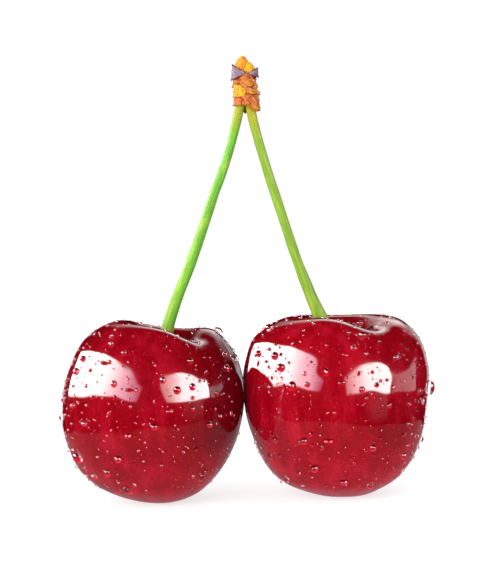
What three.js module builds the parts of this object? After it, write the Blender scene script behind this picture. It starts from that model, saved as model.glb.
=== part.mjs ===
// A pair of ripe sweet cherries, still joined by their stalks at the fruiting spur that was picked with them.
//
// Lengths are in millimetres. +Z is up, +X runs from the left fruit to the right one, and +Y is the far side.
// The pair stands on its two fruits with its origin at the middle of its base.

import * as THREE from "three";

const DEGREE = Math.PI / 180;

// The two fruits. foot is the small flat that a ripe fruit rests on. The top dips by saddle where the suture
// meets it, rises a little in front, falls at the back, and leans in over the front of the shoulders.
const leftFruit = {
  width: 25.9,
  height: 25.5,
  x: -13.15,
  y: -1.1,
  base: 0.4,
  shoulder: 0.94,
  brow: 0.76,
  drift: { foot: 0.8, base: 0.4, flank: -0.3, belly: 0.0, shoulder: 0.6, brow: 1.2, rim: 2.2, pit: 1.4 },
  topSlope: 0.11,
  saddle: 1.7,
  saddleSharpness: 5,
  suture: -44 * DEGREE,
  frontLift: 0.1,
  backFall: 1.0,
  leanIn: 0.02,
};
const rightFruit = {
  width: 26.3,
  height: 25.9,
  x: 13.05,
  y: 1.1,
  base: 0.435,
  shoulder: 0.99,
  brow: 0.85,
  drift: { foot: 1.2, base: 0.5, flank: 0.1, belly: 0.0, shoulder: 0.2, brow: 0.6, rim: 1.6, pit: 0.2 },
  topSlope: 0.02,
  saddle: 1.9,
  saddleSharpness: 3,
  suture: -50 * DEGREE,
  frontLift: 0.75,
  backFall: 0.55,
  leanIn: 0.125,
};
const footShare = 0.17;
const pitShare = 0.82;
const depthShare = 0.97;
const fruitSides = 44;
const ringsPerKey = 3;

// The stalks, from the spur down to the pits of the fruits.
const stalkTop = 56.4;
const leftStalkPath = [
  [0.4, 0.0, stalkTop],
  [-1.25, -0.2, 50.5],
  [-3.65, -0.5, 44.0],
  [-7.45, -0.9, 33.7],
  [-10.1, -1.1, 27.2],
  [-11.5, -1.1, 22.4],
];
const rightStalkPath = [
  [1.6, 0.1, stalkTop],
  [2.95, 0.3, 50.7],
  [6.0, 0.7, 40.3],
  [8.15, 1.0, 33.4],
  [10.35, 1.1, 27.6],
  [12.6, 1.1, 22.7],
];
const stalkThin = 0.66;
const stalkThicken = 0.22;
const stalkFlare = 0.32;
const stalkSides = 12;
const stalkSteps = 34;

// The spur: a woody core inside overlapping bud scales, with a resting bud on top.
const spurX = 1.1;
const spurBase = 56.5;
const coreTop = 60.9;
const coreBaseRadius = 1.42;
const coreTopRadius = 1.08;
const budTop = 63.45;
const budRadius = 1.24;
const hairGap = 0.06;
const scaleThickness = 0.42;

const skin = { color: 0x9e0818, roughness: 0.18, metalness: 0 };
const stalkGreen = { color: 0x7cc23f, roughness: 0.5, metalness: 0 };
const stalkYellowGreen = { color: 0xa4c64a, roughness: 0.5, metalness: 0 };
const bark = { color: 0x7a4a26, roughness: 0.8, metalness: 0 };
const budOrange = { color: 0xdf8420, roughness: 0.65, metalness: 0 };
const scaleOrange = { color: 0xcf6a2c, roughness: 0.7, metalness: 0 };
const scaleOchre = { color: 0xcf9a1c, roughness: 0.75, metalness: 0 };
const scaleViolet = { color: 0x7d6070, roughness: 0.6, metalness: 0 };

const cherries = new THREE.Group();

function add(name, geometry, finish) {
  const piece = new THREE.Mesh(geometry, new THREE.MeshStandardMaterial(finish));
  piece.name = name;
  cherries.add(piece);
  return piece;
}

// Moves every vertex of a geometry; move also gets the vertex's uv.
function reshape(geometry, move) {
  const { position, uv } = geometry.attributes;
  const point = new THREE.Vector3();
  const at = new THREE.Vector2();
  for (let i = 0; i < position.count; i += 1) {
    point.fromBufferAttribute(position, i);
    at.fromBufferAttribute(uv, i);
    move(point, at);
    position.setXYZ(i, point.x, point.y, point.z);
  }
  geometry.computeVertexNormals();
  return geometry;
}

const smooth = THREE.MathUtils.smoothstep;

// One fruit as a stack of rings, from the middle of its foot over the shoulders and down into the stalk pit.
// Each key ring is its share of the half width, its share of the height, and its centre's drift along X.
function fruit(design) {
  const { width, height, base, shoulder, brow, drift } = design;
  const keyRings = [
    [0, 0, drift.foot],
    [footShare, 0, drift.foot],
    [base, 0.035, drift.base],
    [base + 0.28, 0.13, drift.flank],
    [0.905, 0.3, drift.flank],
    [1.0, 0.55, drift.belly],
    [shoulder, 0.757, drift.shoulder],
    [brow, 0.92, drift.brow],
    [0.45, 1.0, drift.rim],
    [0.28, 0.95, (drift.rim + drift.pit) / 2],
    [0.14, 0.85, drift.pit],
    [0, pitShare, drift.pit],
  ];
  const rimAt = 8 / (keyRings.length - 1);
  const outline = new THREE.CatmullRomCurve3(
    keyRings.map(([radius, up, aside]) => new THREE.Vector3((radius * width) / 2, up * height, aside)),
    false,
    "centripetal",
  );
  const ringCount = ringsPerKey * (keyRings.length - 1);
  const profile = outline.getPoints(ringCount).map((p) => new THREE.Vector2(p.x, Math.max(p.y, 0)));
  const body = new THREE.LatheGeometry(profile, fruitSides);
  body.rotateX(90 * DEGREE);
  return reshape(body, (point, at) => {
    const angle = Math.atan2(point.y, point.x);
    const forward = -Math.sin(angle);
    const climb = at.y < rimAt ? smooth(at.y, rimAt - 0.35, rimAt) : (1 - at.y) / (1 - rimAt);
    const dip = design.saddle * Math.exp(design.saddleSharpness * (Math.cos(angle - design.suture) - 1));
    const tilt = (forward > 0 ? -design.frontLift : design.backFall) * forward * forward;
    point.z -= climb * (dip + tilt + design.topSlope * point.x);
    const lean = smooth(forward, 0, 0.75) * smooth(point.z, 0.42 * height, 0.95 * height);
    point.x *= 1 - design.leanIn * lean;
    point.y *= 1 - design.leanIn * lean;
    point.x += outline.getPoint(at.y).z;
    point.y *= depthShare;
  });
}

// A stalk thickens towards the fruit and flares where it joins it.
function stalk(path) {
  const line = new THREE.CatmullRomCurve3(path.map((p) => new THREE.Vector3(...p)), false, "centripetal");
  const { normals, binormals } = line.computeFrenetFrames(stalkSteps);
  const rod = new THREE.CylinderGeometry(1, 1, 1, stalkSides, stalkSteps);
  return reshape(rod, (point) => {
    const step = Math.round((0.5 - point.y) * stalkSteps);
    const along = step / stalkSteps;
    const radius = stalkThin + stalkThicken * along + stalkFlare * along ** 9;
    const across = normals[step].clone().multiplyScalar(point.x * radius);
    across.addScaledVector(binormals[step], point.z * radius);
    point.copy(line.getPointAt(along)).add(across);
  });
}

// The woody core of the spur narrows from the stalks to the bud.
function coreRadius(z) {
  return THREE.MathUtils.mapLinear(z, spurBase, coreTop, coreBaseRadius, coreTopRadius);
}

function core() {
  const edge = 0.12;
  const profile = [
    [0, spurBase],
    [coreRadius(spurBase) - edge, spurBase],
    [coreRadius(spurBase + edge), spurBase + edge],
    [coreRadius(coreTop - edge), coreTop - edge],
    [coreRadius(coreTop) - edge, coreTop],
    [0, coreTop],
  ];
  const body = new THREE.LatheGeometry(profile.map(([r, z]) => new THREE.Vector2(r, z)), 20);
  body.rotateX(90 * DEGREE);
  return body;
}

// The resting bud is a blunt, lopsided cone.
function bud() {
  const base = coreTop + hairGap;
  const height = budTop - base;
  const profile = new THREE.SplineCurve(
    [[0.62, 0], [1, 0.28], [0.86, 0.6], [0.45, 0.88]].map(
      ([radius, up]) => new THREE.Vector2(radius * budRadius, base + up * height),
    ),
  ).getPoints(9);
  const ends = [new THREE.Vector2(0, base), new THREE.Vector2(0, budTop)];
  const body = new THREE.LatheGeometry([ends[0], ...profile, ends[1]], 18);
  body.rotateX(90 * DEGREE);
  return reshape(body, (point) => {
    const up = (point.z - base) / height;
    point.x -= 0.25 * up * up;
  });
}

// A bud scale is a thin lens wrapped round the core. turn is the way it faces, spread is half its angle, foot and
// top are its heights above the spur's base, and flare leans its top, or below zero its foot, off the core.
function scale({ turn, spread, foot, top, flare = 0 }) {
  const middle = spurBase + (foot + top) / 2;
  const halfHeight = (top - foot) / 2;
  return reshape(new THREE.SphereGeometry(1, 14, 9), (point) => {
    const up = point.z;
    const z = middle + up * halfHeight;
    const angle = (turn + spread * point.x) * DEGREE;
    const lean = Math.abs(flare) * smooth(up * Math.sign(flare), -1, 1);
    const radius = coreRadius(z) + hairGap + lean + (scaleThickness * (1 - point.y)) / 2;
    point.set(radius * Math.cos(angle), radius * Math.sin(angle), z);
  });
}

// Every bud scale. Turns are degrees: 0 faces the right fruit, -90 the near side and 180 the left fruit.
const scales = [
  { name: "left_collar_scale", turn: 178, spread: 82, foot: 3.5, top: 5.9, flare: 0.4, finish: scaleViolet },
  { name: "right_collar_scale", turn: 2, spread: 82, foot: 3.9, top: 5.4, flare: 0.3, finish: scaleViolet },
  { name: "front_upper_scale", turn: -84, spread: 56, foot: 2.5, top: 3.45, finish: scaleOrange },
  { name: "right_upper_scale", turn: 34, spread: 56, foot: 2.45, top: 3.45, finish: scaleOrange },
  { name: "left_upper_scale", turn: 155, spread: 56, foot: 2.55, top: 3.45, finish: scaleOrange },
  { name: "left_middle_scale", turn: -142, spread: 56, foot: 1.1, top: 2.45, finish: scaleOchre },
  { name: "right_middle_scale", turn: -24, spread: 56, foot: 1.15, top: 2.4, finish: scaleOchre },
  { name: "back_middle_scale", turn: 97, spread: 56, foot: 1.1, top: 2.4, finish: scaleOrange },
  { name: "left_lower_scale", turn: -157, spread: 40, foot: -0.1, top: 1.05, flare: -0.15, finish: scaleOrange },
  { name: "front_lower_scale", turn: -72, spread: 40, foot: -0.15, top: 1.05, flare: -0.15, finish: scaleOrange },
  { name: "right_lower_scale", turn: 14, spread: 40, foot: -0.45, top: 1.05, flare: -0.25, finish: scaleOrange },
  { name: "back_lower_scale", turn: 107, spread: 46, foot: -0.15, top: 1.05, flare: -0.15, finish: scaleOrange },
];

add("left_cherry", fruit(leftFruit), skin).position.set(leftFruit.x, leftFruit.y, 0);
add("right_cherry", fruit(rightFruit), skin).position.set(rightFruit.x, rightFruit.y, 0);
add("left_stalk", stalk(leftStalkPath), stalkGreen);
add("right_stalk", stalk(rightStalkPath), stalkYellowGreen);
add("spur_core", core(), bark).position.x = spurX;
add("bud", bud(), budOrange).position.x = spurX;
for (const { name, finish, ...shape } of scales) {
  add(name, scale(shape), finish).position.x = spurX;
}

// The origin goes to the middle of the base.
const extent = new THREE.Box3().setFromObject(cherries);
const middle = extent.getCenter(new THREE.Vector3());
cherries.position.set(-middle.x, -middle.y, -extent.min.z);

export default cherries;
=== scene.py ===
import math
import random

import bpy
import numpy as np
from mathutils import Matrix, Vector
from mathutils.bvhtree import BVHTree


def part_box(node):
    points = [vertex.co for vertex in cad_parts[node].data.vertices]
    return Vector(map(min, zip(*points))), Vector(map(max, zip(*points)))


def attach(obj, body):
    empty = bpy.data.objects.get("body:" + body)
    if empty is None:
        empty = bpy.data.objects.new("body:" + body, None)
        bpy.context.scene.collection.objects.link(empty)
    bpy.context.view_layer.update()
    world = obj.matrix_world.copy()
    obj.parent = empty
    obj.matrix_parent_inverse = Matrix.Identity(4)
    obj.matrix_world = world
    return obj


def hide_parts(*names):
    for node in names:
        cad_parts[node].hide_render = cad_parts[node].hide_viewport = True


# A pair of ripe sweet cherries on their stalks, wet with water drops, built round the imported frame.
# Everything is in metres. +X runs from the left fruit to the right one, and the camera looks along +Y.

MM = 0.001
DEGREE = math.pi / 180

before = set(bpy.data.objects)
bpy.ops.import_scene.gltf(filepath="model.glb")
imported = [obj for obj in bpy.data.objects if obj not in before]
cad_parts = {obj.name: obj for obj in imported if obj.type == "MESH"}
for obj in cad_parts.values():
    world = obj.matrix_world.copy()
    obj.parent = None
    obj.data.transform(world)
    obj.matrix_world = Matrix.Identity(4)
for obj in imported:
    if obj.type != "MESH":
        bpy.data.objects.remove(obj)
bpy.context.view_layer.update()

# The fruits are drawn as in the frame's design: sizes in millimetres, shares of the half width and height.
LEFT_FRUIT = {
    "width": 25.9,
    "height": 25.5,
    "place": (-13.15, -1.1),
    "base": 0.40,
    "shoulder": 0.94,
    "brow": 0.76,
    "drift": {
        "foot": 0.8,
        "base": 0.4,
        "flank": -0.3,
        "belly": 0.0,
        "shoulder": 0.6,
        "brow": 1.2,
        "rim": 2.2,
        "pit": 1.4,
    },
    "slope": 0.11,
    "saddle": 1.7,
    "suture": -44 * DEGREE,
    "sharpness": 5,
    "front_lift": 0.1,
    "back_fall": 1.0,
    "lean_in": 0.02,
}
RIGHT_FRUIT = {
    "width": 26.3,
    "height": 25.9,
    "place": (13.05, 1.1),
    "base": 0.435,
    "shoulder": 0.99,
    "brow": 0.85,
    "drift": {
        "foot": 1.2,
        "base": 0.5,
        "flank": 0.1,
        "belly": 0.0,
        "shoulder": 0.2,
        "brow": 0.6,
        "rim": 1.6,
        "pit": 0.2,
    },
    "slope": 0.02,
    "saddle": 1.9,
    "suture": -50 * DEGREE,
    "sharpness": 3,
    "front_lift": 0.75,
    "back_fall": 0.55,
    "lean_in": 0.125,
}
# Both fruits: the flat foot's share of the half width, the height of the pit's floor, depth over width, steps
# round the fruit, and how deep and how narrow the line of the suture is.
FOOT = 0.17
PIT = 0.82
DEPTH = 0.97
FRUIT_STEPS = 112
SEAM_DEPTH = 0.008
SEAM_SHARPNESS = 160

# Routes of the stalks' middles and their radii, in millimetres, from the spur down to the fruit.
LEFT_STALK = [
    ((0.42, 0.0, 57.0), 0.70),
    ((0.02, -0.05, 55.4), 0.69),
    ((-1.25, -0.2, 50.5), 0.66),
    ((-3.65, -0.5, 44.0), 0.68),
    ((-7.45, -0.9, 33.7), 0.79),
    ((-9.30, -1.05, 29.3), 0.84),
    ((-10.7, -1.1, 25.3), 0.93),
    ((-11.5, -1.1, 22.1), 1.25),
]
RIGHT_STALK = [
    ((1.58, 0.1, 57.0), 0.71),
    ((1.86, 0.13, 55.4), 0.69),
    ((2.95, 0.3, 50.7), 0.67),
    ((6.0, 0.7, 40.3), 0.70),
    ((8.15, 1.0, 33.4), 0.75),
    ((10.0, 1.1, 28.4), 0.88),
    ((11.3, 1.1, 25.4), 1.05),
    ((12.6, 1.1, 22.4), 1.3),
]

# The spur's core, the bark that covers it, and the scales wrapped round it, in millimetres.
SPUR_X = 1.1
SPUR_BASE = 56.5
CORE_TOP = 60.9
CORE_BASE_RADIUS = 1.42
CORE_TOP_RADIUS = 1.08
BARK = 0.24
SCALE_GAP = 0.16
SCALE_THICK = 0.2
RIM_LIFT = 0.12

# Corners nearer to each other than this, in metres, are joined.
WELD = 0.000001


def middle_of(node):
    low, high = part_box(node)
    return (low + high) / 2


# The design's axis of the spur is at (SPUR_X, 0), and the frame says where that is in the row.
core_middle = middle_of("spur_core")
ORIGIN = Vector((core_middle.x - SPUR_X * MM, core_middle.y, 0))


def spot(x, y, z):
    """A point of the design, in millimetres, as a place in the frame."""
    return ORIGIN + Vector((x, y, z)) * MM


# ---------------------------------------------------------------- modelling


def start_fresh():
    """Nothing stays selected, so the next operator acts on its own piece alone."""
    bpy.ops.object.select_all(action="DESELECT")


def edit(work):
    """Runs work on all of the active mesh in edit mode."""
    bpy.ops.object.mode_set(mode="EDIT")
    bpy.ops.mesh.select_all(action="SELECT")
    work()
    bpy.ops.object.mode_set(mode="OBJECT")


def keep_as(name):
    """Names the active piece, with its place in its mesh."""
    piece = bpy.context.object
    bpy.ops.object.transform_apply(location=True, rotation=True, scale=True)
    piece.name = name
    piece.data.name = name
    return piece


def modify(piece, kind, **settings):
    """Adds a modifier and applies it."""
    modifier = piece.modifiers.new(kind.title(), kind)
    for setting, value in settings.items():
        setattr(modifier, setting, value)
    start_fresh()
    piece.select_set(True)
    bpy.context.view_layer.objects.active = piece
    bpy.ops.object.modifier_apply(modifier=modifier.name)


def soften(piece, levels):
    modify(piece, "SUBSURF", levels=levels, render_levels=levels)


def swell(piece, size, height):
    """Uneven growth: soft swellings of that size and height."""
    clouds = bpy.data.textures.new(piece.name + "_swell", "CLOUDS")
    clouds.noise_scale = size
    clouds.noise_depth = 1
    modify(piece, "DISPLACE", texture=clouds, strength=height, mid_level=0.5, texture_coords="LOCAL")


def shade_smooth(piece):
    start_fresh()
    piece.select_set(True)
    bpy.context.view_layer.objects.active = piece
    bpy.ops.object.shade_smooth()


def get_points(mesh):
    flat = np.empty(len(mesh.vertices) * 3)
    mesh.vertices.foreach_get("co", flat)
    return flat.reshape(-1, 3)


def set_points(mesh, points):
    mesh.vertices.foreach_set("co", points.ravel())
    mesh.update()


def get_values(mesh, name):
    flat = np.empty(len(mesh.vertices))
    mesh.attributes[name].data.foreach_get("value", flat)
    return flat


def set_values(mesh, name, values):
    attribute = mesh.attributes.new(name, "FLOAT", "POINT")
    attribute.data.foreach_set("value", np.asarray(values, dtype=np.float32))


def smoothstep(low, high, x):
    t = np.clip((x - low) / (high - low), 0, 1)
    return t * t * (3 - 2 * t)


def drawn_line(points, resolution, radii=None):
    """A smooth curve through the points, as the active object."""
    start_fresh()
    bpy.ops.curve.primitive_bezier_curve_add(location=(0, 0, 0))
    line = bpy.context.object
    spline = line.data.splines[0]
    spline.bezier_points.add(len(points) - 2)
    for i, (knot, point) in enumerate(zip(spline.bezier_points, points)):
        knot.co = point
        knot.handle_left_type = knot.handle_right_type = "AUTO"
        knot.radius = radii[i] if radii else 1
    line.data.resolution_u = resolution
    return line


def fruit_rings(design):
    """The half outline: share of the half width, share of the height, and how far each ring is set aside."""
    drift = design["drift"]
    return [
        (0, 0, drift["foot"]),
        (FOOT, 0, drift["foot"]),
        (design["base"], 0.035, drift["base"]),
        (design["base"] + 0.28, 0.13, drift["flank"]),
        (0.905, 0.3, drift["flank"]),
        (1.0, 0.55, drift["belly"]),
        (design["shoulder"], 0.757, drift["shoulder"]),
        (design["brow"], 0.92, drift["brow"]),
        (0.45, 1.0, drift["rim"]),
        (0.28, 0.95, (drift["rim"] + drift["pit"]) / 2),
        (0.14, 0.85, drift["pit"]),
        (0, PIT, drift["pit"]),
    ]


def fruit(name, design):
    """Spins a half outline into a fruit, then leans its rings, drops its top at the suture and seats it."""
    rings = fruit_rings(design)
    half, tall = design["width"] / 2 * MM, design["height"] * MM
    drawn_line([(share * half, aside * MM, up * tall) for share, up, aside in rings], resolution=6)
    bpy.ops.object.convert(target="MESH")
    mesh = bpy.context.object.data
    outline = get_points(mesh)
    set_values(mesh, "aside", outline[:, 1])
    set_values(mesh, "along", np.linspace(0, 1, len(outline)))
    outline[:, 1] = 0
    outline[[0, -1], 0] = 0
    outline[:, 2] = np.maximum(outline[:, 2], 0)
    set_points(mesh, outline)

    def turn():
        bpy.ops.mesh.spin(steps=FRUIT_STEPS, angle=2 * math.pi, center=(0, 0, 0), axis=(0, 0, 1))
        bpy.ops.mesh.select_all(action="SELECT")
        bpy.ops.mesh.remove_doubles(threshold=WELD)
        bpy.ops.mesh.normals_make_consistent(inside=False)

    edit(turn)
    piece = keep_as(name)
    mesh = piece.data
    points, along = get_points(mesh), get_values(mesh, "along")
    rim = (len(rings) - 4) / (len(rings) - 1)
    angle = np.arctan2(points[:, 1], points[:, 0])
    climb = np.where(along < rim, smoothstep(rim - 0.35, rim, along), (1 - along) / (1 - rim))
    off_suture = np.cos(angle - design["suture"]) - 1
    dip = design["saddle"] * MM * np.exp(design["sharpness"] * off_suture)
    front, back = np.maximum(-np.sin(angle), 0) ** 2, np.maximum(np.sin(angle), 0) ** 2
    dip += (design["back_fall"] * back - design["front_lift"] * front) * MM
    points[:, 2] -= climb * (dip + design["slope"] * points[:, 0])
    seam = SEAM_DEPTH * np.exp(SEAM_SHARPNESS * off_suture)
    seam *= smoothstep(0.05, 0.25, along) * smoothstep(1, 0.9, along)
    points[:, :2] *= (1 - seam)[:, None]
    face = smoothstep(0, 0.75, -np.sin(angle)) * smoothstep(0.42 * tall, 0.95 * tall, points[:, 2])
    points[:, :2] *= (1 - design["lean_in"] * face)[:, None]
    points[:, 0] += get_values(mesh, "aside")
    points[:, 1] *= DEPTH
    set_points(mesh, points + np.array(spot(*design["place"], 0)))
    swell(piece, size=0.011, height=0.00042)
    swell(piece, size=0.0035, height=0.00015)
    soften(piece, 1)
    points = get_points(mesh)
    points[:, 2] = np.maximum(points[:, 2], 0)
    set_points(mesh, points)
    shade_smooth(piece)
    return piece


def drawn_rod(points, radii, resolution, thickness, roundness):
    """A closed rod along a smooth curve, as the active object. Thickness is its radius where radii say 1."""
    line = drawn_line(points, resolution, radii)
    line.data.bevel_depth = thickness
    line.data.bevel_resolution = roundness
    line.data.use_fill_caps = True
    bpy.ops.object.convert(target="MESH")
    edit(lambda: bpy.ops.mesh.remove_doubles(threshold=WELD))


def stalk(name, route):
    """A tapering stalk with a few shallow lengthwise ridges, flared where it joins the fruit."""
    places = [spot(*place) for place, _ in route]
    radii = [radius for _, radius in route]
    drawn_rod(places, radii, resolution=10, thickness=MM, roundness=6)
    piece = keep_as(name)
    swell(piece, size=0.0028, height=0.00016)
    soften(piece, 1)
    shade_smooth(piece)
    return piece


def core_radius(z):
    share = (z - SPUR_BASE) / (CORE_TOP - SPUR_BASE)
    return CORE_BASE_RADIUS + (CORE_TOP_RADIUS - CORE_BASE_RADIUS) * share


def spur_core(name):
    """The woody stump that the scales wrap."""
    start_fresh()
    tall = (CORE_TOP - SPUR_BASE) * MM
    bpy.ops.mesh.primitive_cone_add(
        vertices=28,
        radius1=(CORE_BASE_RADIUS + BARK) * MM,
        radius2=(CORE_TOP_RADIUS + BARK) * MM,
        depth=tall,
        location=spot(SPUR_X, 0, (CORE_TOP + SPUR_BASE) / 2),
    )
    modify(bpy.context.object, "BEVEL", width=0.00015, segments=2)
    edit(lambda: bpy.ops.mesh.subdivide(number_cuts=5))
    piece = keep_as(name)
    swell(piece, size=0.0007, height=0.00018)
    shade_smooth(piece)
    return piece


def bud_lobe(name, middle, size, lean, point):
    """One fat scale of the resting bud: a drop shape, pinched to a point and creased."""
    start_fresh()
    bpy.ops.mesh.primitive_uv_sphere_add(segments=24, ring_count=16, radius=1, location=(0, 0, 0))
    piece = bpy.context.object
    points = get_points(piece.data)
    up = (points[:, 2] + 1) / 2
    taper = 1 - point * smoothstep(0.4, 1.0, up)
    angle = np.arctan2(points[:, 1], points[:, 0])
    crease = 1 + 0.05 * np.sin(5 * angle + 3 * up)
    points[:, :2] *= (taper * crease)[:, None]
    points *= np.array(size) * MM
    points[:, 0] += lean * MM * up * up
    set_points(piece.data, points + np.array(spot(*middle)))
    piece = keep_as(name)
    swell(piece, size=0.0007, height=0.00022)
    soften(piece, 1)
    shade_smooth(piece)
    return piece


def bud_scale(name, turn, spread, foot, top, flare=0.0, point=0.0, pinch=0.0, puff=0.0, ruffle=0.08):
    """A papery scale wrapped round the core, in degrees and in millimetres above the spur's base."""
    start_fresh()
    bpy.ops.mesh.primitive_grid_add(x_subdivisions=16, y_subdivisions=12, size=2, location=(0, 0, 0))
    piece = bpy.context.object
    u, v = get_points(piece.data)[:, :2].T
    rim = np.maximum(np.abs(u), np.abs(v)) ** 6
    narrowing = 1 - point * smoothstep(-0.2, 1.0, v) ** 1.5 - 0.12 * np.abs(v) ** 4
    tall = (top - foot) / 2 * (1 - 0.15 * u * u - pinch * np.abs(u) ** 1.6)
    z = SPUR_BASE + (foot + top) / 2 + v * tall
    angle = (turn + spread * u * narrowing) * DEGREE
    lean = abs(flare) * smoothstep(-1, 1, v * np.sign(flare)) ** 1.5
    waves = np.sin(4.1 * u + turn) * np.cos(2.3 * v + turn)
    waves += 0.6 * np.sin(7.3 * v + 3 * u + 2 * turn)
    radius = core_radius(z) + SCALE_GAP + lean + ruffle * waves + RIM_LIFT * rim + puff * (1 - u * u)
    x, y = radius * np.cos(angle), radius * np.sin(angle)
    places = np.stack([x + SPUR_X, y, z], axis=1) * MM + np.array(ORIGIN)
    set_points(piece.data, places)
    set_values(piece.data, "edge", rim)
    piece = keep_as(name)
    modify(piece, "SOLIDIFY", thickness=SCALE_THICK * MM, offset=0)
    edit(lambda: bpy.ops.mesh.normals_make_consistent(inside=False))
    soften(piece, 1)
    swell(piece, size=0.00045, height=0.00016)
    shade_smooth(piece)
    return piece


def ridge(name, route, width, swelling):
    """A rolled scale edge that crosses the spur: degrees round it, millimetres up it and out from it."""
    places = []
    for turn, up, out in route:
        angle = turn * DEGREE
        reach = core_radius(SPUR_BASE + up) + out
        places.append(spot(SPUR_X + reach * math.cos(angle), reach * math.sin(angle), SPUR_BASE + up))
    radii = [0.55] + [1.0] * (len(route) - 2) + [0.6]
    drawn_rod(places, radii, resolution=8, thickness=width / 2 * MM, roundness=3)
    piece = keep_as(name)
    set_values(piece.data, "edge", np.zeros(len(piece.data.vertices)))
    soften(piece, 1)
    swell(piece, size=0.0005, height=swelling * MM)
    shade_smooth(piece)
    return piece


def fork_web(name):
    """A near-black web between the two stalks just under the spur: painted shade in the slot between them."""
    start_fresh()
    bpy.ops.mesh.primitive_uv_sphere_add(segments=16, ring_count=12, radius=1, location=(0, 0, 0))
    bpy.ops.transform.resize(value=(0.34 * MM, 0.3 * MM, 0.95 * MM))
    bpy.ops.transform.translate(value=spot(0.99, 0.12, 56.15))
    piece = keep_as(name)
    shade_smooth(piece)
    return piece


# ---------------------------------------------------------------- water

# A drop is a sphere cut this far under its middle, in radii, and lifted off the skin by so many millimetres.
DROP_CUT = 0.18
DROP_LIFT = 0.02
# No scattered drop sits lower than this, or this near the plane between the fruits, in metres.
DRY_FOOT = 0.0022
DRY_CONTACT = 0.0012
# Rays that find a place on a fruit's skin start this far from its middle, in metres.
OUTSIDE = 0.03
# A place that is taken is given up, and neighbours' radii need this much more room than they fill.
TRIES_PER_DROP = 6
SPACING = 1.05


def drop_shape(segments, rings):
    """A round bead of water of radius 1 with its flat foot: points, faces, and which faces are the foot."""
    start_fresh()
    bpy.ops.mesh.primitive_uv_sphere_add(segments=segments, ring_count=rings, radius=1, location=(0, 0, 0))

    def cut():
        bpy.ops.mesh.bisect(plane_co=(0, 0, -DROP_CUT), plane_no=(0, 0, 1), clear_inner=True, use_fill=True)
        bpy.ops.mesh.select_all(action="SELECT")
        bpy.ops.mesh.normals_make_consistent(inside=False)

    edit(cut)
    pattern = bpy.context.object
    shape = (
        get_points(pattern.data),
        [tuple(face.vertices) for face in pattern.data.polygons],
        [int(len(face.vertices) > 4) for face in pattern.data.polygons],
    )
    bpy.data.objects.remove(pattern)
    return shape


BEAD = drop_shape(segments=16, rings=10)
DROPLET = drop_shape(segments=8, rings=6)
MIST = drop_shape(segments=6, rings=4)


class Wetting:
    """Collects drops on one fruit and makes them one piece."""

    def __init__(self, skin, seed):
        depsgraph = bpy.context.evaluated_depsgraph_get()
        self.tree = BVHTree.FromObject(skin, depsgraph)
        self.middle = Vector(get_points(skin.data).mean(axis=0))
        self.chance = random.Random(seed)
        self.taken = []
        self.points = []
        self.faces = []
        self.feet = []
        self.lit = []
        self.count = 0

    def drop(self, shape, place, normal, width, stretch=1.0, height=1.0):
        """Seats one drop, a little longer down the slope than across it."""
        radius = width / 2
        down = Vector((0, 0, -1)) - normal * -normal.z
        if down.length < 0.05:
            down = normal.orthogonal()
        down.normalize()
        across = normal.cross(down)
        turn = np.array([down * stretch, across / math.sqrt(stretch), normal * height])
        points, faces, feet = shape
        seat = np.array(place + normal * (DROP_CUT * radius * height + DROP_LIFT * MM))
        self.points.append(points * radius @ turn + seat)
        self.faces.extend(tuple(corner + self.count for corner in face) for face in faces)
        self.feet.extend(feet)
        # Painted light for each drop's foot: 0 up the slope, 1 down it.
        self.lit.extend(points[:, 0] * 0.5 + 0.5)
        self.count += len(points)
        self.taken.append((place, radius))

    def free(self, place, radius):
        return all((place - other).length > SPACING * (radius + size) for other, size in self.taken)

    def bead(self, across, up, width, stretch=1.0):
        """A bead seen from the front, placed by millimetres from the fruit's middle."""
        start = self.middle + Vector((across, -40, up)) * MM
        place, normal, _, _ = self.tree.ray_cast(start, Vector((0, 1, 0)))
        if place is None:
            edge = self.middle + Vector((across, -2, up)) * MM
            place, normal, _, _ = self.tree.find_nearest(edge)
        self.drop(BEAD, place, normal, width * MM, stretch, 0.9)

    def scatter(self, shape, count, smallest, largest, bias):
        """Drops all over the fruit but its foot, more of them small than large."""
        placed = 0
        for _ in range(count * TRIES_PER_DROP):
            if placed == count:
                break
            heading = Vector([self.chance.gauss(0, 1) for _ in range(3)]).normalized()
            width = smallest + (largest - smallest) * self.chance.random() ** bias
            stretch = 1 + 0.5 * self.chance.random() ** 3
            start = self.middle + heading * OUTSIDE
            place, normal, _, _ = self.tree.ray_cast(start, -heading)
            if place is None or place.z < DRY_FOOT or abs(place.x) < DRY_CONTACT:
                continue
            if self.free(place, width * MM / 2):
                self.drop(shape, place, normal, width * MM, stretch, 0.75 + 0.3 * self.chance.random())
                placed += 1

    def finish(self, name, clear, wet_skin):
        """Makes the collected drops one piece, clear above, with painted light and shade at their feet."""
        mesh = bpy.data.meshes.new(name)
        mesh.from_pydata(np.concatenate(self.points).tolist(), [], self.faces)
        set_values(mesh, "lit", self.lit)
        mesh.materials.append(clear)
        mesh.materials.append(wet_skin)
        piece = bpy.data.objects.new(name, mesh)
        bpy.context.scene.collection.objects.link(piece)
        shade_smooth(piece)
        for face, foot in zip(mesh.polygons, self.feet):
            face.material_index = foot
            face.use_smooth = not foot
        piece.visible_shadow = False
        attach(piece, "root")


# ---------------------------------------------------------------- finishes


class Wire:
    """A number that varies over a surface: a node's output with Python's arithmetic."""

    def __init__(self, nodes, socket):
        self.nodes = nodes
        self.socket = socket

    def _math(self, operation, first, second):
        return self.nodes.node("ShaderNodeMath", {"operation": operation}, {0: first, 1: second})

    def __add__(self, other):
        return self._math("ADD", self, other)

    def __sub__(self, other):
        return self._math("SUBTRACT", self, other)

    def __rsub__(self, other):
        return self._math("SUBTRACT", other, self)

    def __mul__(self, other):
        return self._math("MULTIPLY", self, other)

    __radd__ = __add__
    __rmul__ = __mul__


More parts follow.
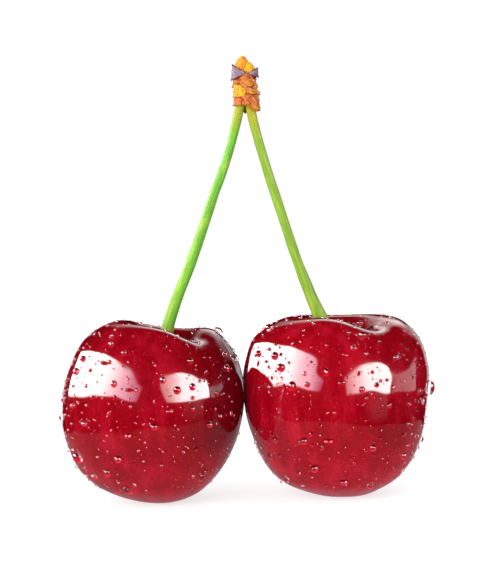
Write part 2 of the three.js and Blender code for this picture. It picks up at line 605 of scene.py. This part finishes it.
class Nodes:
    """The nodes of one material or one light."""

    def __init__(self, owner):
        owner.use_nodes = True
        self.tree = owner.node_tree

    def feed(self, socket, value):
        if isinstance(value, Wire):
            self.tree.links.new(value.socket, socket)
        else:
            socket.default_value = value

    def node(self, kind, settings=None, values=None, output=0):
        """Adds a node: its settings first, then the values or links of its sockets."""
        node = self.tree.nodes.new(kind)
        for setting, value in (settings or {}).items():
            if setting == "stops":
                self.set_stops(node.color_ramp, value)
            else:
                setattr(node, setting, value)
        for socket, value in (values or {}).items():
            self.feed(node.inputs[socket], value)
        return Wire(self, node.outputs[output])

    def set_stops(self, ramp, stops):
        while len(ramp.elements) < len(stops):
            ramp.elements.new(1.0)
        for element, (place, colour) in zip(ramp.elements, stops):
            element.position = place
            element.color = (*colour, 1)

    def split(self, vector, axis):
        return self.node("ShaderNodeSeparateXYZ", None, {0: vector}, output=axis)

    def ramp(self, value, stops):
        return self.node("ShaderNodeValToRGB", {"stops": stops}, {0: value})


class Finish(Nodes):
    """A material: its shader's constant settings, and nodes for what varies."""

    def __init__(self, name, **constants):
        self.material = bpy.data.materials.new(name)
        super().__init__(self.material)
        self.shader = self.tree.nodes["Principled BSDF"]
        for socket, value in constants.items():
            self.shader.inputs[socket.replace("_", " ")].default_value = value

    def place(self, centre=(0, 0, 0), scale=(1, 1, 1), turn=(0, 0, 0)):
        """Object coordinates centred on a point, turned and scaled, in millimetres."""
        coords = self.node("ShaderNodeTexCoord", output="Object")
        moved = self.node(
            "ShaderNodeMapping",
            {"vector_type": "TEXTURE"},
            {"Vector": coords, "Location": centre, "Rotation": turn, "Scale": (MM, MM, MM)},
        )
        return self.node("ShaderNodeVectorMath", {"operation": "MULTIPLY"}, {0: moved, 1: scale})

    def length(self, vector):
        return self.node("ShaderNodeVectorMath", {"operation": "LENGTH"}, {0: vector}, output="Value")

    def noise(self, vector, scale, detail=3.0, roughness=0.55):
        values = {"Vector": vector, "Scale": scale, "Detail": detail, "Roughness": roughness}
        return self.node("ShaderNodeTexNoise", None, values)

    def cells(self, vector, scale):
        """How far each place is from the nearest of many scattered points."""
        return self.node("ShaderNodeTexVoronoi", None, {"Vector": vector, "Scale": scale})

    def span(self, value, low, high, start=0.0, end=1.0):
        """Maps low..high smoothly to start..end."""
        values = {"Value": value, "From Min": low, "From Max": high, "To Min": start, "To Max": end}
        return self.node("ShaderNodeMapRange", {"interpolation_type": "SMOOTHSTEP"}, values)

    def blend(self, share, first, second):
        """Colours mixed by share."""
        first = first if isinstance(first, Wire) else (*first, 1)
        second = second if isinstance(second, Wire) else (*second, 1)
        values = {0: share, 6: first, 7: second}
        return self.node("ShaderNodeMix", {"data_type": "RGBA"}, values, output=2)

    def wear(self, colour, roughness=None, height=None, depth=0.0):
        """Feeds what varies into the shader. depth is the bump's height in metres."""
        self.feed(self.shader.inputs["Base Color"], colour)
        if roughness:
            self.feed(self.shader.inputs["Roughness"], roughness)
        if height:
            bump = self.node("ShaderNodeBump", None, {"Height": height, "Distance": depth})
            self.feed(self.shader.inputs["Normal"], bump)
        return self.material


# The skin's reds, from its darkest streaks to its palest.
SKIN_REDS = [
    (0.0, (0.142, 0.0004, 0.0026)),
    (0.5, (0.180, 0.0009, 0.0046)),
    (1.0, (0.240, 0.0028, 0.0100)),
]
SPECK_PINK = (0.36, 0.030, 0.045)
# The dark red of the painted shade on a fruit's side.
PAINTED_SHADE_RED = (0.03, 0.0001, 0.0008)
PIT_BROWN = (0.16, 0.05, 0.004)
WET_GLOSS = {"Coat_Weight": 1.0, "Coat_Roughness": 0.068, "Coat_IOR": 1.45}


def cherry_skin(name, centre, pit, brightness, painted_side_shade):
    """Deep crimson with streaks from the stalk down, fine pale specks and a wet gloss.

    Painted shade darkens the fruit's +X side by the share given, weaker in its lower part."""
    skin = Finish(name, Roughness=0.5, Specular_IOR_Level=0.0, **WET_GLOSS)
    round_fruit = skin.place(centre)
    streaks = skin.noise(skin.place(centre, (1, 1, 0.25)), 0.5, 3.0, 0.5)
    mottle = skin.noise(round_fruit, 0.14, 2.0)
    fine = skin.noise(skin.place(centre, (1, 1, 0.35)), 4.2, 2.0, 0.6)
    tone = skin.span(streaks * 0.38 + mottle * 0.38 + fine * 0.24, 0.38, 0.62)
    flesh = skin.ramp(tone, [(place, tuple(brightness * part for part in red)) for place, red in SKIN_REDS])
    nearness = skin.cells(round_fruit, 1.9)
    speck = skin.span(nearness, 0.24, 0.10) * skin.span(skin.noise(round_fruit, 0.4), 0.38, 0.6)
    coloured = skin.blend(speck * 0.45, flesh, SPECK_PINK)
    # Painted shade: the fruit's +X side darkens, weaker toward the foot.
    side_shade_mask = skin.span(skin.split(round_fruit, 0) + (mottle - 0.5) * 3, 3.5, 13.0) * painted_side_shade
    side_shade_mask = side_shade_mask * skin.span(skin.split(round_fruit, 2), -10.5, -1.5, 0.25, 1.0)
    coloured = skin.blend(side_shade_mask, coloured, PAINTED_SHADE_RED)
    from_stalk = skin.length(skin.place(pit))
    pitted = skin.blend(skin.span(from_stalk + streaks * 2, 4.6, 2.4) * 0.6, coloured, PIT_BROWN)
    return skin.wear(pitted, height=skin.noise(round_fruit, 1.0, 2.0) + speck * -0.2, depth=0.00001)


LIME = (0.44, 0.46, 0.05)
VEIN_GREEN = (0.09, 0.19, 0.010)


def stalk_skin(name, centre, lean, inner, outer, tip):
    """Green with lengthwise streaks, yellower along one side and at both ends."""
    skin = Finish(name, Specular_IOR_Level=0.08)
    along = skin.place(centre, (1, 1, 1), (0, lean, 0))
    streaked = skin.place(centre, (1, 1, 0.045), (0, lean, 0))
    streaks = skin.noise(streaked, 3.4, 3.0, 0.6)
    patches = skin.noise(skin.place(centre, (1, 1, 0.3), (0, lean, 0)), 0.9)
    side = skin.span(skin.split(along, 0) + (patches - 0.5) * 1.2, -0.7, 0.7)
    green = skin.blend(side, inner, outer)
    yellowed = skin.blend(skin.span(patches, 0.5, 0.68) * 0.4, green, LIME)
    veined = skin.blend(skin.span(streaks, 0.36, 0.64) * 0.55, yellowed, VEIN_GREEN)
    height = skin.split(skin.place(), 2)
    ends = skin.span(height, 51.0, 56.5) + skin.span(height, 25.6, 24.2)
    coloured = skin.blend(ends * 0.85, veined, tip)
    return skin.wear(coloured, skin.span(streaks, 0.3, 0.7, 0.42, 0.6), streaks, 0.00006)


def scale_finish(name, dark, light, patch, edge, amount):
    """Papery scale: blotched, granular, with a darker edge."""
    paper = Finish(name, Specular_IOR_Level=0.06)
    near = paper.place()
    blotch = paper.noise(near, 1.6, 4.0, 0.65)
    grain = paper.noise(near, 7.0, 2.0)
    body = paper.ramp(blotch, [(0.30, dark), (0.52, light), (0.72, light)])
    patched = paper.blend(paper.span(paper.noise(near, 0.8, 2.0), 0.5, 0.62) * amount, body, patch)
    rim = paper.node("ShaderNodeAttribute", {"attribute_name": "edge"}, output="Fac")
    edged = paper.blend(paper.span(rim, 0.25, 0.9) * 0.8, patched, edge)
    return paper.wear(edged, paper.span(grain, 0.3, 0.7, 0.5, 0.8), grain + blotch * 2, 0.00006)


def bark(name, dark=(0.10, 0.035, 0.012), light=(0.42, 0.16, 0.04)):
    wood = Finish(name, Specular_IOR_Level=0.05)
    near = wood.place()
    blotch = wood.noise(near, 2.0, 4.0, 0.7)
    colour = wood.ramp(blotch, [(0.3, dark), (0.7, light)])
    return wood.wear(colour, wood.span(blotch, 0.3, 0.7, 0.6, 0.85), blotch, 0.00012)


# Painted shade and light for the red seen through a drop: shaded on its upper side, glowing on its lower one.
PAINTED_DROP_SHADE = [
    (0.2, (0.020, 0.0001, 0.0005)),
    (0.5, (0.085, 0.0004, 0.002)),
    (0.85, (0.24, 0.004, 0.014)),
]


def water(name):
    return Finish(name, Base_Color=(1, 1, 1, 1), Roughness=0.0, IOR=1.5, Transmission_Weight=1.0).material


def skin_under_water(name):
    """The matte red foot of a drop, with painted shade up the slope and painted light down it."""
    skin = Finish(name, Roughness=0.9, Specular_IOR_Level=0.0)
    lit = skin.node("ShaderNodeAttribute", {"attribute_name": "lit"}, output="Fac")
    return skin.wear(skin.ramp(lit, PAINTED_DROP_SHADE))


def coat(piece, material, slot, *nodes):
    """Gives a piece its finish and its body, and hides the frame's nodes that it stands for. The slot is not
    used.
    """
    piece.data.materials.clear()
    piece.data.materials.append(material)
    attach(piece, "root")
    if nodes:
        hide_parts(*nodes)


# ---------------------------------------------------------------- the pair

left_cherry = fruit("left_cherry_fruit", LEFT_FRUIT)
right_cherry = fruit("right_cherry_fruit", RIGHT_FRUIT)
left_pit, right_pit = spot(-11.5, -1.1, 22.4), spot(12.6, 1.1, 22.7)
# Each skin's brightness, then the share of painted shade on its +X side.
left_skin = cherry_skin("left_cherry_skin", middle_of("left_cherry"), left_pit, 0.98, 0.8)
right_skin = cherry_skin("right_cherry_skin", middle_of("right_cherry"), right_pit, 1.13, 0.1)
coat(left_cherry, left_skin, "cherry_skin", "left_cherry")
coat(right_cherry, right_skin, "cherry_skin", "right_cherry")

# Each stalk's colours: its inner side, its outer side and its ends.
LEFT_GREENS = (0.23, 0.43, 0.030), (0.095, 0.33, 0.026), (0.28, 0.27, 0.008)
RIGHT_GREENS = (0.19, 0.32, 0.028), (0.36, 0.44, 0.075), (0.34, 0.28, 0.010)
left_stalk = stalk("left_green_stalk", LEFT_STALK)
left_green = stalk_skin("left_stalk_skin", middle_of("left_stalk"), 19 * DEGREE, *LEFT_GREENS)
coat(left_stalk, left_green, "stalk_green", "left_stalk")
right_stalk = stalk("right_green_stalk", RIGHT_STALK)
right_green = stalk_skin("right_stalk_skin", middle_of("right_stalk"), -18 * DEGREE, *RIGHT_GREENS)
coat(right_stalk, right_green, "stalk_yellow_green", "right_stalk")

coat(spur_core("spur_wood"), bark("spur_bark"), "spur_bark", "spur_core")

# Papery colours: dark and light ground, patches, edge, and the share of the patches.
PAPERS = {
    "orange_scale": ((0.16, 0.03, 0.01), (0.42, 0.12, 0.022), (0.46, 0.22, 0.014), (0.20, 0.035, 0.01), 0.5),
    "pink_scale": ((0.24, 0.045, 0.02), (0.50, 0.15, 0.055), (0.55, 0.26, 0.10), (0.25, 0.03, 0.02), 0.5),
    "ochre_scale": ((0.34, 0.14, 0.008), (0.50, 0.30, 0.012), (0.42, 0.36, 0.014), (0.42, 0.11, 0.02), 0.6),
    "violet_scale": ((0.06, 0.035, 0.055), (0.27, 0.18, 0.22), (0.10, 0.07, 0.10), (0.11, 0.006, 0.012), 0.6),
    "bud_skin": ((0.34, 0.08, 0.006), (0.62, 0.20, 0.014), (0.60, 0.30, 0.018), (0.34, 0.06, 0.006), 0.6),
    "bud_gold": ((0.52, 0.20, 0.008), (0.66, 0.30, 0.014), (0.60, 0.36, 0.016), (0.34, 0.06, 0.006), 0.5),
    "dark_red_edge": ((0.16, 0.010, 0.010), (0.34, 0.03, 0.02), (0.40, 0.07, 0.03), (0.16, 0.01, 0.01), 0.4),
}
paper = {name: scale_finish(name, *colours) for name, colours in PAPERS.items()}

# The bud's lobes: middle, half sizes, lean and sharpness.
tip = bud_lobe("bud_tip", (SPUR_X - 0.5, 0, 62.05), (1.05, 0.95, 1.36), 0.22, 0.2)
coat(tip, paper["bud_skin"], "bud_orange", "bud")
right_lobe = bud_lobe("bud_right_lobe", (SPUR_X + 0.5, -0.25, 61.5), (0.95, 0.9, 1.05), -0.1, 0.25)
coat(right_lobe, paper["bud_gold"], "bud_orange")
left_lobe = bud_lobe("bud_left_lobe", (SPUR_X - 0.8, -0.35, 61.35), (0.62, 0.7, 0.95), 0.1, 0.3)
coat(left_lobe, paper["bud_skin"], "bud_orange")
hook = bud_lobe("bud_hook", (SPUR_X - 0.18, 0, 63.05), (0.17, 0.17, 0.36), 0.16, 0.6)
coat(hook, paper["violet_scale"], "bud_orange")
# The web's near-black bark is painted shade in the slot between the stalks.
coat(fork_web("fork_web"), bark("dark_bark", (0.02, 0.012, 0.004), (0.06, 0.04, 0.01)), "spur_bark")

# The scales: colour, then turn and spread in degrees, foot and top in millimetres, and shape.
SCALES = [
    ("left_collar_scale", "violet", (180, 94, 3.4, 5.75), dict(puff=0.6, pinch=0.85, ruffle=0.04)),
    ("right_collar_scale", "violet", (0, 76, 3.75, 5.2), dict(puff=0.55, pinch=0.85, ruffle=0.04)),
    ("front_upper_scale", "orange", (-78, 64, 2.5, 4.55), dict(point=0.9, puff=0.2)),
    ("right_upper_scale", "orange", (18, 58, 2.3, 3.9), dict(puff=0.2)),
    ("left_upper_scale", "orange", (178, 64, 2.4, 3.7), dict(puff=0.35, ruffle=0.1)),
    ("left_middle_scale", "ochre", (-142, 56, 1.1, 2.95), dict(puff=0.35, ruffle=0.08)),
    ("right_middle_scale", "ochre", (-38, 58, 1.5, 3.15), dict(puff=0.15, ruffle=0.12)),
    ("back_middle_scale", "orange", (97, 60, 1.0, 2.9), dict(ruffle=0.1)),
    ("left_lower_scale", "orange", (-155, 48, -0.15, 1.5), dict(puff=0.1)),
    ("front_lower_scale", "orange", (-88, 34, -0.05, 1.6), dict(puff=0.1)),
    ("right_lower_scale", "orange", (-26, 46, -0.95, 1.5), dict(puff=0.3, flare=-0.1)),
    ("back_lower_scale", "orange", (107, 50, -0.2, 1.6), dict(flare=-0.15)),
]
for node, colour, extent, shape in SCALES:
    piece = bud_scale(node.replace("_scale", "_bud_scale"), *extent, **shape)
    coat(piece, paper[colour + "_scale"], "scale_" + colour, node)

# Rolled edges and dark creases: route, width, and the height of their swellings.
RIDGES = [
    ("left_ridge", [(-122, 3.4, 0.35), (-106, 3.0, 0.45), (-88, 2.5, 0.45), (-68, 1.75, 0.3)], 0.36),
    (
        "right_ridge",
        [(-88, 2.55, 0.35), (-62, 2.15, 0.5), (-36, 1.95, 0.55), (-6, 1.5, 0.6), (20, 1.3, 0.4)],
        0.44,
    ),
    ("upper_ridge", [(-60, 3.9, 0.3), (-42, 3.3, 0.45), (-20, 2.7, 0.45), (0, 2.5, 0.4)], 0.4),
    ("lower_ridge", [(-118, 1.5, 0.3), (-98, 1.1, 0.4), (-80, 0.3, 0.35)], 0.4),
    ("lower_right_ridge", [(-66, 1.4, 0.3), (-48, 0.7, 0.5), (-30, -0.2, 0.5)], 0.35),
    ("back_ridge", [(60, 3.2, 0.3), (95, 2.9, 0.45), (130, 3.1, 0.35)], 0.45),
]
CREASES = [
    ("upper_crease", [(-84, 3.75, 0.32), (-66, 3.85, 0.36), (-44, 3.55, 0.3)], 0.24),
    ("left_crease", [(-128, 2.95, 0.3), (-112, 2.75, 0.42), (-98, 2.35, 0.42)], 0.2),
    ("middle_crease", [(-96, 1.9, 0.35), (-78, 1.6, 0.42), (-60, 1.5, 0.3)], 0.22),
    ("foot_crease", [(-112, 0.2, 0.3), (-104, 0.9, 0.38), (-100, 1.4, 0.3)], 0.2),
]
for folds, finish, swelling in ((RIDGES, "pink_scale", 0.16), (CREASES, "dark_red_edge", 0.08)):
    for name, route, width in folds:
        coat(ridge(name, route, width, swelling), paper[finish], "scale_orange")

# Beads given one by one: millimetres across and up from the fruit's middle, width, and length over width.
LEFT_BEADS = [
    (-10.3, 7.9, 0.9, 1.1), (-11.3, 6.1, 1.0, 1.1), (-5.8, 5.0, 0.9, 1.1), (-7.2, 7.7, 1.0, 0.6),
    (-3.6, 4.2, 1.0, 0.6), (3.0, 4.0, 1.1, 1.1), (5.1, 4.3, 0.9, 1.2), (5.1, 2.8, 0.6, 1.0),
    (-11.8, 1.5, 1.0, 0.7), (-10.1, -0.8, 0.9, 0.8), (-4.0, -2.2, 0.9, 0.8), (-0.2, -0.9, 1.2, 0.8),
    (1.9, 1.2, 1.0, 0.6), (7.3, -1.2, 1.0, 0.9), (-11.3, -6.0, 1.5, 1.1), (-7.1, -7.8, 1.0, 1.1),
    (-9.1, -8.7, 0.8, 1.0), (5.4, -4.5, 0.6, 1.0), (3.7, -4.8, 0.6, 1.0), (-4.3, 9.1, 0.8, 0.8),
    (-6.1, 10.1, 0.8, 0.8), (4.9, 7.7, 0.9, 1.0), (9.6, 7.9, 0.8, 1.0), (6.9, 6.0, 0.7, 1.0),
]
RIGHT_BEADS = [
    (-11.5, 7.4, 0.9, 1.1), (-9.2, 7.4, 1.0, 1.2), (-8.4, 5.9, 1.2, 1.0), (-6.9, 3.5, 1.2, 1.2),
    (-4.8, 3.8, 0.8, 1.0), (-9.9, 10.9, 1.2, 1.0), (-9.0, 9.0, 0.6, 1.0), (-6.5, 9.1, 0.8, 0.8),
    (1.8, 8.6, 0.9, 1.0), (7.9, 6.8, 1.0, 0.7), (-2.1, 5.5, 0.8, 1.6), (0.0, 4.0, 1.0, 0.7),
    (2.8, 3.0, 0.9, 1.0), (4.9, 3.5, 0.7, 1.1), (6.4, 4.0, 0.5, 1.0), (7.2, 2.9, 0.7, 1.0),
    (3.4, 1.8, 0.7, 1.0), (6.6, 0.5, 0.9, 0.9), (9.4, 0.3, 0.7, 1.0), (13.6, 1.6, 1.7, 1.3),
    (-9.3, -4.3, 1.0, 0.9), (-2.0, -4.1, 1.1, 0.6), (-2.9, -5.1, 0.7, 1.0), (-4.0, -8.3, 1.1, 1.0),
    (0.1, -10.4, 1.1, 0.8), (3.8, -11.3, 1.0, 1.0), (8.7, -7.3, 1.0, 1.1), (8.6, -4.0, 0.7, 0.8),
    (12.0, -5.9, 0.8, 1.2), (-10.1, -7.0, 0.9, 1.0), (-7.8, -10.4, 0.8, 1.0), (-5.6, -11.4, 0.7, 1.0),
]
# Scattered drops: how many, smallest and largest width in millimetres, and how strongly small ones prevail.
SCATTERED = [(BEAD, 26, 0.55, 1.1, 1.5), (DROPLET, 180, 0.3, 0.62, 1.6), (MIST, 720, 0.15, 0.36, 1.3)]
LEFT_SEED, RIGHT_SEED = 7, 23
wet = water("clear_water")
wet_skin = skin_under_water("skin_under_water")
for name, skin, beads, seed in (
    ("left_water_drops", left_cherry, LEFT_BEADS, LEFT_SEED),
    ("right_water_drops", right_cherry, RIGHT_BEADS, RIGHT_SEED),
):
    wetting = Wetting(skin, seed)
    for bead in beads:
        wetting.bead(*bead)
    for drops in SCATTERED:
        wetting.scatter(*drops)
    wetting.finish(name, wet, wet_skin)

# ---------------------------------------------------------------- stage, lights and camera


def glowing(name, strength, colour):
    """A plain glow that no light changes."""
    material = bpy.data.materials.new(name)
    nodes = Nodes(material)
    glow = nodes.node("ShaderNodeEmission", None, {"Color": (*colour, 1), "Strength": strength})
    nodes.feed(nodes.tree.nodes["Material Output"].inputs["Surface"], glow)
    return material


def disc(name, radius, height, material):
    start_fresh()
    bpy.ops.mesh.primitive_circle_add(vertices=96, radius=radius, fill_type="NGON", location=(0, 0, height))
    piece = keep_as(name)
    piece.data.materials.append(material)
    return piece


def only_mirrored(piece):
    """Only mirrors see the piece."""
    for ray in ("visible_camera", "visible_diffuse", "visible_transmission", "visible_shadow"):
        setattr(piece, ray, False)


white_table = Finish(
    "white_table",
    Base_Color=(0.42, 0.42, 0.42, 1),
    Roughness=0.6,
    Specular_IOR_Level=0.0,
    Emission_Color=(1, 1, 1, 1),
    Emission_Strength=0.70,
)
floor = disc("floor", 0.35, 0.0, white_table.material)
floor.visible_glossy = False
floor.visible_shadow = False

# The fruits mirror a smaller, dimmer table top than the one that they stand on.
only_mirrored(disc("mirrored_table", 0.062, -0.0005, glowing("table_glow", 0.38, (1.0, 0.75, 0.85))))


def mirrored_ball(name, middle, wide, tall):
    """A dark red ball that only mirrors see. Its half width and half height are millimetres."""
    start_fresh()
    bpy.ops.mesh.primitive_uv_sphere_add(segments=48, ring_count=24, radius=1, location=(0, 0, 0))
    bpy.ops.transform.resize(value=(wide * MM, wide * MM, tall * MM))
    bpy.ops.transform.translate(value=spot(*middle))
    ball = keep_as(name)
    ball.data.materials.append(glowing(name, 0.05, (1, 0.01, 0.04)))
    only_mirrored(ball)


# Each fruit mirrors a plain ball in its neighbour's place, which leaves room for the windows' reflections.
for piece in (left_cherry, right_cherry, left_stalk, right_stalk):
    piece.visible_glossy = False
mirrored_ball("mirrored_left_neighbour", (-13.0, 0.0, 12.0), 11.1, 10.2)
mirrored_ball("mirrored_right_neighbour", (13.1, 0.0, 13.8), 11.4, 8.8)


def grade(light, across, upward):
    """Makes a light uneven along its width and its height."""
    nodes = Nodes(light)
    place = nodes.node("ShaderNodeNewGeometry", output="Parametric")
    shades = {0: nodes.ramp(nodes.split(place, 0), across), 1: nodes.ramp(nodes.split(place, 1), upward)}
    colour = nodes.node("ShaderNodeVectorMath", {"operation": "MULTIPLY"}, shades)
    nodes.feed(nodes.tree.nodes["Emission"].inputs["Color"], colour)


# The point that every light faces, and how far the lights are from it.
TARGET = Vector((0, 0, 0.017))
LIGHT_DISTANCE = 0.5
BLACK, WHITE = (0, 0, 0), (1, 1, 1)
ROSY = (1.0, 0.8, 0.85)


def softbox(name, azimuth, elevation, width, height, radiance, colour=WHITE, roll=0, gloss=True):
    """A rectangular soft light for mirrors, or else for matte surfaces. Azimuth 0 is the camera's side."""
    side, up = azimuth * DEGREE, elevation * DEGREE
    heading = Vector((math.sin(side) * math.cos(up), -math.cos(side) * math.cos(up), math.sin(up)))
    light = bpy.data.lights.new(name, "AREA")
    light.shape = "RECTANGLE"
    light.size = 2 * LIGHT_DISTANCE * math.tan(width * DEGREE / 2)
    light.size_y = 2 * LIGHT_DISTANCE * math.tan(height * DEGREE / 2)
    light.energy = radiance * math.pi * light.size * light.size_y
    light.color = colour
    lamp = bpy.data.objects.new(name, light)
    bpy.context.scene.collection.objects.link(lamp)
    facing = heading.to_track_quat("Z", "Y").to_matrix() @ Matrix.Rotation(roll * DEGREE, 3, "Z")
    lamp.rotation_euler = facing.to_euler()
    lamp.location = TARGET + heading * LIGHT_DISTANCE
    lamp.visible_camera = False
    lamp.visible_diffuse = not gloss
    lamp.visible_glossy = gloss
    return light


# How the lights fade along their width or their height.
SOFT_ENDS = [(0.0, BLACK), (0.1, WHITE), (0.93, WHITE), (1.0, BLACK)]
RISING = [(0.0, BLACK), (0.5, WHITE), (1.0, WHITE)]
PEAKED = [(0.0, BLACK), (0.5, WHITE), (1.0, BLACK)]
FALLING = [(0.0, WHITE), (0.6, WHITE), (1.0, BLACK)]
MIDDLING = [(0.0, BLACK), (0.3, WHITE), (0.7, WHITE), (1.0, BLACK)]
LEFT_FADING = [
    (0.0, WHITE),
    (0.55, WHITE),
    (0.72, (0.62, 0.5, 0.58)),
    (0.86, (0.36, 0.22, 0.3)),
    (1.0, (0.12, 0.05, 0.08)),
]
RIGHT_FADING = [
    (0.0, (0.26, 0.19, 0.19)),
    (0.14, (0.4, 0.34, 0.34)),
    (0.3, (0.68, 0.62, 0.62)),
    (0.44, WHITE),
]

# Lights for the mirrored windows and the glow round them.
grade(softbox("left_window", -79, 23, 116, 31, 26, roll=6), LEFT_FADING, SOFT_ENDS)
grade(softbox("right_window", 45, 17.5, 64, 27, 26, roll=-4), RIGHT_FADING, SOFT_ENDS)
softbox("right_window_far_edge", 95, 7, 32, 16, 3.2, ROSY, roll=-8)
grade(softbox("right_window_sill", 52, -4, 30, 18, 0.9, ROSY), RISING, RISING)
grade(softbox("back_window", 165, 32, 60, 30, 4.5), PEAKED, PEAKED)
softbox("far_right_strip", 150, 5, 18, 30, 1.2)
grade(softbox("left_table_glow", -80, -30, 70, 30, 2.4, ROSY), FALLING, MIDDLING)

# Lights for the matte surfaces.
softbox("front_fill", -32, 14, 50, 40, 6.5, gloss=False)
softbox("low_fill", 25, -24, 90, 34, 4.5, ROSY, gloss=False)

world = bpy.data.worlds.new("white_room")
world.use_nodes = True
world.node_tree.nodes["Background"].inputs["Color"].default_value = (1, 1, 1, 1)
world.cycles_visibility.glossy = False
bpy.context.scene.world = world
bpy.context.scene.view_settings.view_transform = "Standard"

# The camera: angles, distance, height of the view, point looked at and shift in the view, in metres, and its
# sensor's height in millimetres.
ELEVATION = 6 * DEGREE
ROLL = 1.3 * DEGREE
DISTANCE = 0.42
VIEW_HEIGHT = 0.0833
LOOKED_AT = Vector((0, 0, 0.030))
SHIFT = Vector((0.00094, -0.00017, 0))
SENSOR = 24
camera_data = bpy.data.cameras.new("camera")
camera_data.sensor_fit = "VERTICAL"
camera_data.sensor_height = SENSOR
camera_data.lens = camera_data.sensor_height * DISTANCE / VIEW_HEIGHT
camera = bpy.data.objects.new("camera", camera_data)
bpy.context.scene.collection.objects.link(camera)
turned = Matrix.Rotation(math.pi / 2 - ELEVATION, 3, "X") @ Matrix.Rotation(-ROLL, 3, "Z")
aim = LOOKED_AT + turned @ SHIFT
camera.location = aim + turned @ Vector((0, 0, DISTANCE))
camera.rotation_euler = turned.to_euler()
bpy.context.scene.camera = camera
